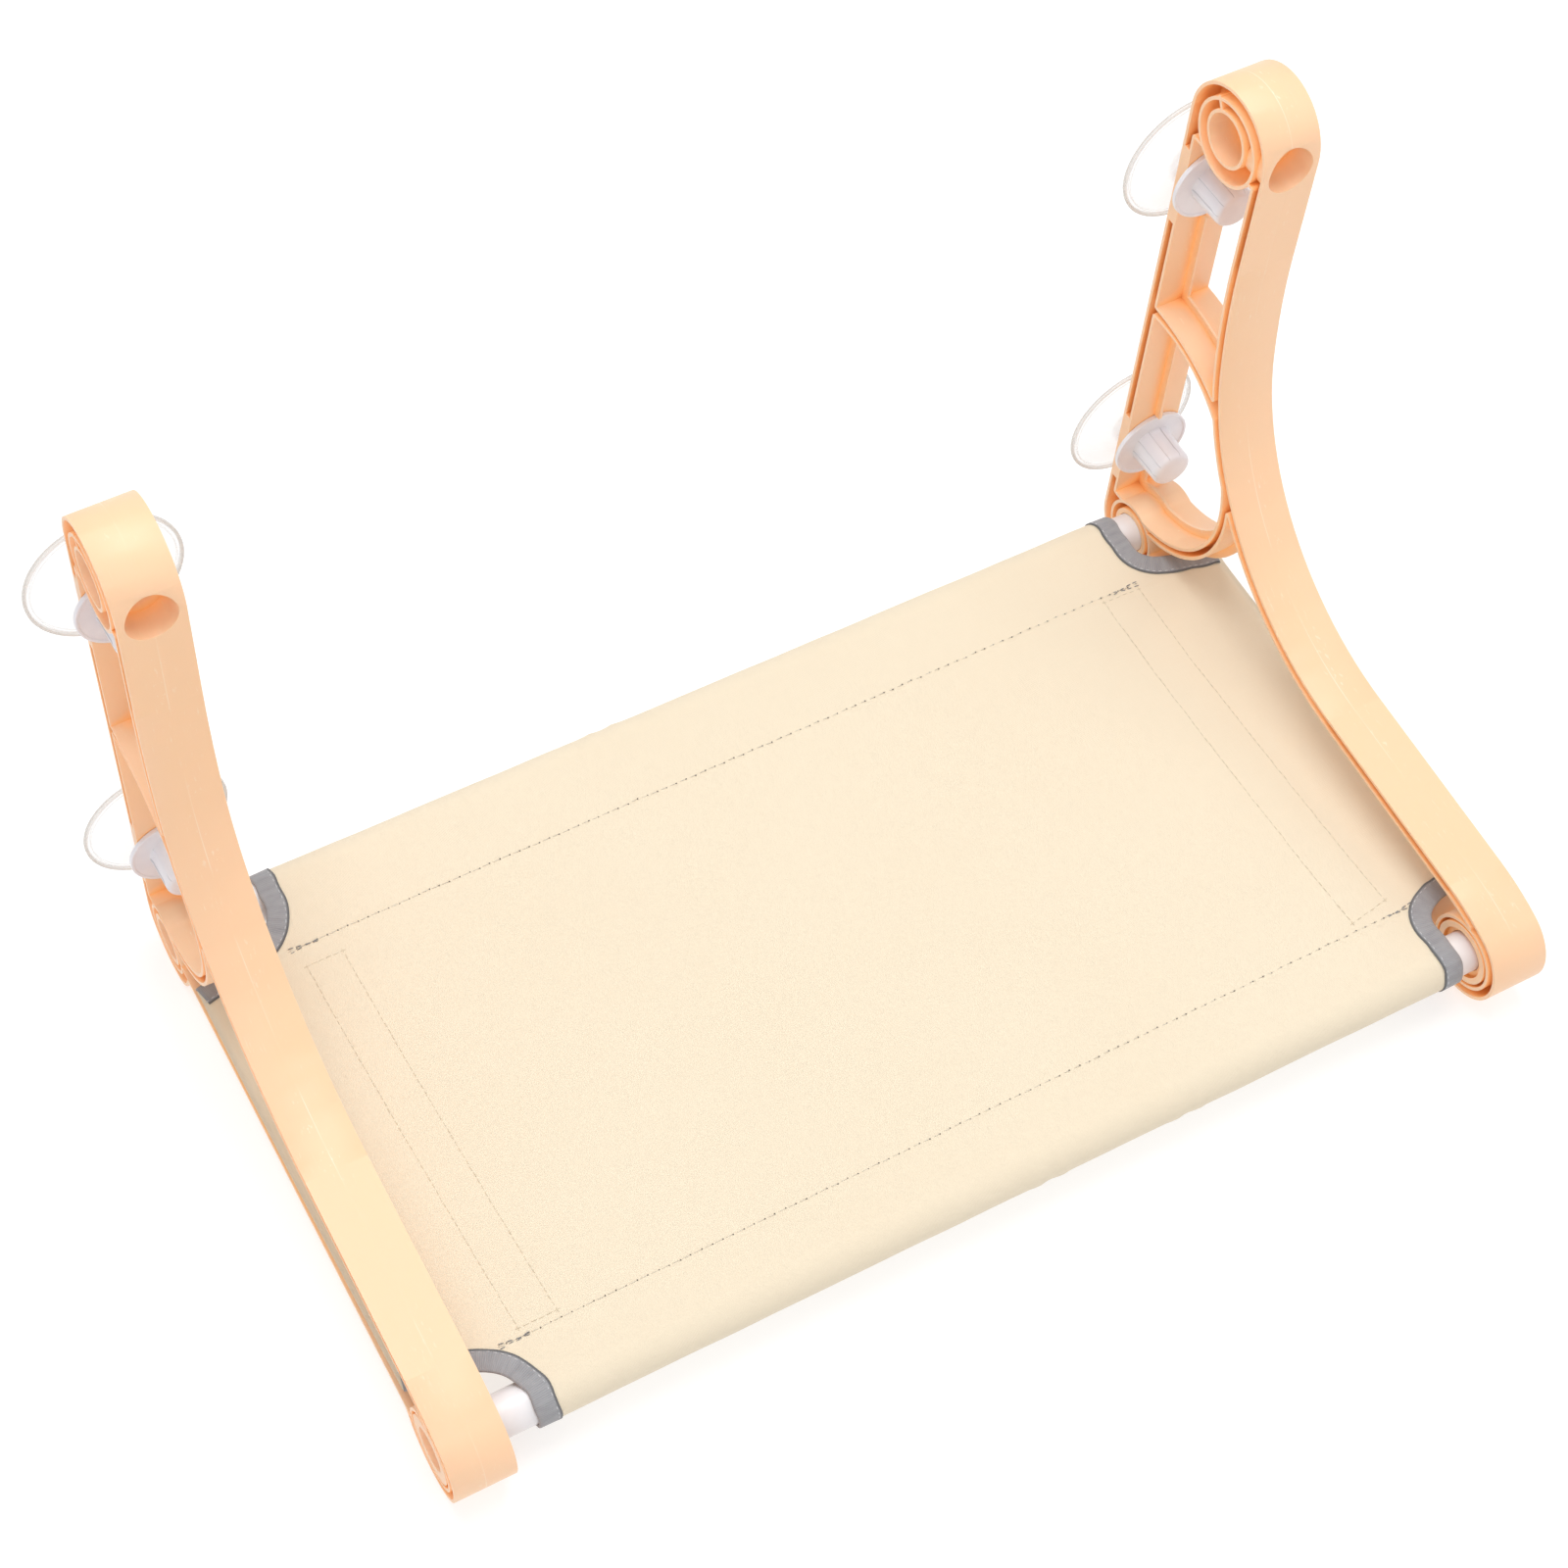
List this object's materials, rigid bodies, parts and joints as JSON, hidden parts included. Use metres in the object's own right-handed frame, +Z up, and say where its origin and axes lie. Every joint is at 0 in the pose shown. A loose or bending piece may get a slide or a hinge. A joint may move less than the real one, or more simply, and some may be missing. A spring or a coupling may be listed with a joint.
{
  "type": "cat window hammock",
  "caption": "Window perch for a cat: canvas sling on two tubes between moulded side brackets, held to a pane by suction cups with clamp nuts",
  "frame": {"origin": "on the window pane, midway between the two brackets and between the upper and lower suction cups", "axes": "+X runs along the tubes to the right bracket seen from the room, +Y points through the pane, +Z is up"},
  "size_m": [0.597, 0.3408, 0.3248],
  "materials": {
    "bracket_plastic": "injection moulded polypropylene, satin, apricot orange",
    "tube_plastic": "extruded white plastic tube, satin",
    "canvas": "plain-woven cream canvas",
    "binding_tape": "grey woven binding tape",
    "sewn_tape": "cream webbing sewn under the sheet",
    "clear_vinyl": "soft clear vinyl, smooth",
    "stud_plastic": "white threaded plastic",
    "nut_plastic": "milky translucent white plastic, satin"
  },
  "bodies": {
    "frame": {"left_bracket": "bracket_plastic", "right_bracket": "bracket_plastic", "rear_tube": "tube_plastic", "front_tube": "tube_plastic", "sling": "canvas", "left_rear_binding": "binding_tape", "left_front_binding": "binding_tape", "left_stiffening_tape": "sewn_tape", "right_rear_binding": "binding_tape", "right_front_binding": "binding_tape", "right_stiffening_tape": "sewn_tape"},
    "left_lower_cup": {"left_lower_suction_cup": "clear_vinyl", "left_lower_stud": "stud_plastic"},
    "left_lower_nut": {"left_lower_clamp_nut": "nut_plastic"},
    "left_upper_cup": {"left_upper_suction_cup": "clear_vinyl", "left_upper_stud": "stud_plastic"},
    "left_upper_nut": {"left_upper_clamp_nut": "nut_plastic"},
    "right_lower_cup": {"right_lower_suction_cup": "clear_vinyl", "right_lower_stud": "stud_plastic"},
    "right_lower_nut": {"right_lower_clamp_nut": "nut_plastic"},
    "right_upper_cup": {"right_upper_suction_cup": "clear_vinyl", "right_upper_stud": "stud_plastic"},
    "right_upper_nut": {"right_upper_clamp_nut": "nut_plastic"}
  },
  "joints": [
    {"name": "left_lower_cup_swivel", "type": "hinge", "parent": "frame", "child": "left_lower_cup", "pos_m": [-0.2635, -0.014, -0.0905], "axis": [0, 1, 0], "continuous": true},
    {"name": "left_lower_nut_spin", "type": "hinge", "parent": "left_lower_cup", "child": "left_lower_nut", "pos_m": [-0.2635, -0.022, -0.0905], "axis": [0, 1, 0], "continuous": true},
    {"name": "left_upper_cup_swivel", "type": "hinge", "parent": "frame", "child": "left_upper_cup", "pos_m": [-0.2635, -0.014, 0.0905], "axis": [0, 1, 0], "continuous": true},
    {"name": "left_upper_nut_spin", "type": "hinge", "parent": "left_upper_cup", "child": "left_upper_nut", "pos_m": [-0.2635, -0.022, 0.0905], "axis": [0, 1, 0], "continuous": true},
    {"name": "right_lower_cup_swivel", "type": "hinge", "parent": "frame", "child": "right_lower_cup", "pos_m": [0.2635, -0.014, -0.0905], "axis": [0, 1, 0], "continuous": true},
    {"name": "right_lower_nut_spin", "type": "hinge", "parent": "right_lower_cup", "child": "right_lower_nut", "pos_m": [0.2635, -0.022, -0.0905], "axis": [0, 1, 0], "continuous": true},
    {"name": "right_upper_cup_swivel", "type": "hinge", "parent": "frame", "child": "right_upper_cup", "pos_m": [0.2635, -0.014, 0.0905], "axis": [0, 1, 0], "continuous": true},
    {"name": "right_upper_nut_spin", "type": "hinge", "parent": "right_upper_cup", "child": "right_upper_nut", "pos_m": [0.2635, -0.022, 0.0905], "axis": [0, 1, 0], "continuous": true}
  ]
}
